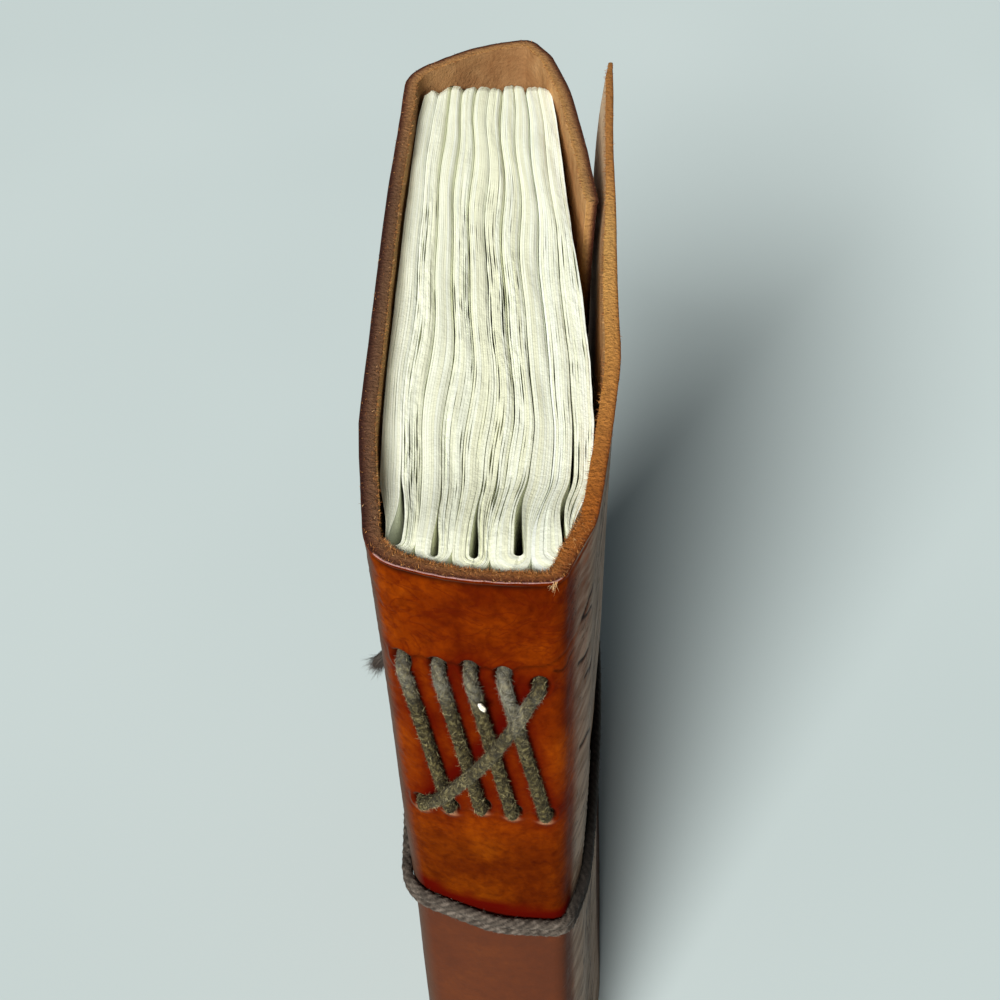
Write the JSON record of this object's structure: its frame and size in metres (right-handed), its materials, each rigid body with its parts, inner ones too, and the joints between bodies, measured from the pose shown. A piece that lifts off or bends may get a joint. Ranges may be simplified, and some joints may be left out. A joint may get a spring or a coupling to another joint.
{
  "type": "leather journal",
  "caption": "Wrap journal: thick leather folded round sewn gatherings of deckled paper, with a tucked-in flap and a cord tied twice round it.",
  "frame": {"origin": "middle of the closed journal's box, on the surface that it stands on", "axes": "+Z from tail to head, -Y out of the spine, +X out of the front cover"},
  "size_m": [0.0545, 0.167, 0.21],
  "materials": {
    "leather": "oiled grain outside, raw suede inside",
    "paper": "rough deckled cotton paper",
    "sewing_cord": "fuzzy wool-like cord",
    "wrap_cord": "twisted cord"
  },
  "bodies": {
    "root": {"leather_cover": "leather", "text_block": "paper", "head_sewing_cord": "sewing_cord", "tail_sewing_cord": "sewing_cord", "wrap_cord_turns": "wrap_cord", "wrap_cord_short_end": "wrap_cord", "wrap_cord_long_end": "wrap_cord", "wrap_knot": "wrap_cord"}
  },
  "joints": []
}
